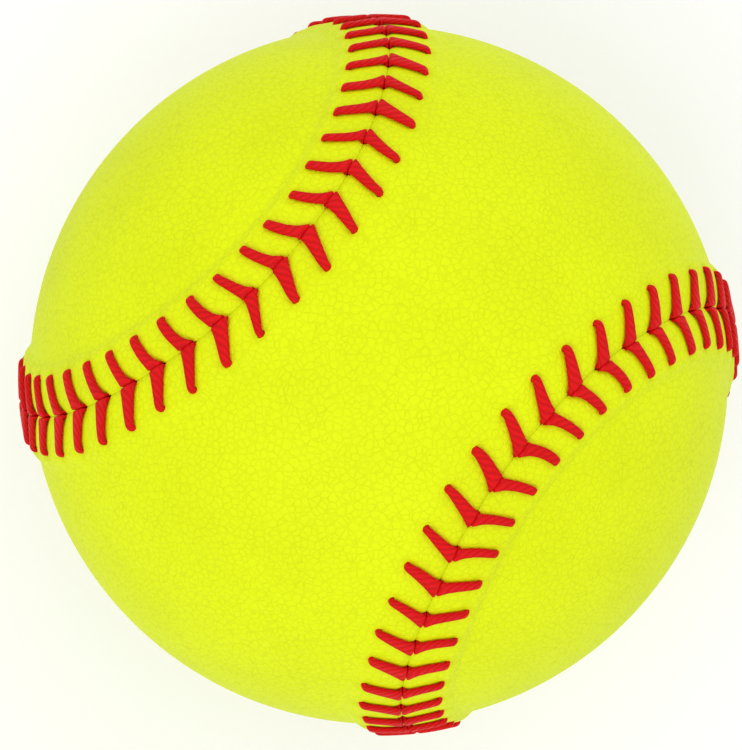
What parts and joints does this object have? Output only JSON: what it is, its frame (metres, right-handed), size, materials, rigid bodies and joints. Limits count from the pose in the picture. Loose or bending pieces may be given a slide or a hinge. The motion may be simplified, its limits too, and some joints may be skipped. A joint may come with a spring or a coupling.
{
  "type": "softball",
  "caption": "Optic-yellow leather game ball with a wound cork core, two figure-eight cover panels and a raised seam sewn in red waxed thread.",
  "frame": {"origin": "centre of the ball, which is also the centre of its bounding box", "axes": "+Z through the middle of panel a's waist and -Z through the middle of panel b's waist; X and Y both cross the seam line; the ball rests on the smooth leather at -Z"},
  "size_m": [0.1, 0.1, 0.097],
  "materials": {
    "cork_rubber": "moulded cork granules in rubber",
    "yarn": "twisted yarn, tightly wound",
    "latex": "dried latex, slightly glossy",
    "cement": "dried contact cement",
    "leather": "smooth optic-yellow dyed leather, satin",
    "waxed_thread": "waxed red thread, satin"
  },
  "bodies": {
    "root": {"core": "cork_rubber", "yarn_winding": "yarn", "latex_coat": "latex", "cement_film_a": "cement", "cement_film_b": "cement", "cover_panel_a": "leather", "cover_panel_b": "leather", "seam_thread_a": "waxed_thread", "seam_thread_b": "waxed_thread"}
  },
  "joints": []
}
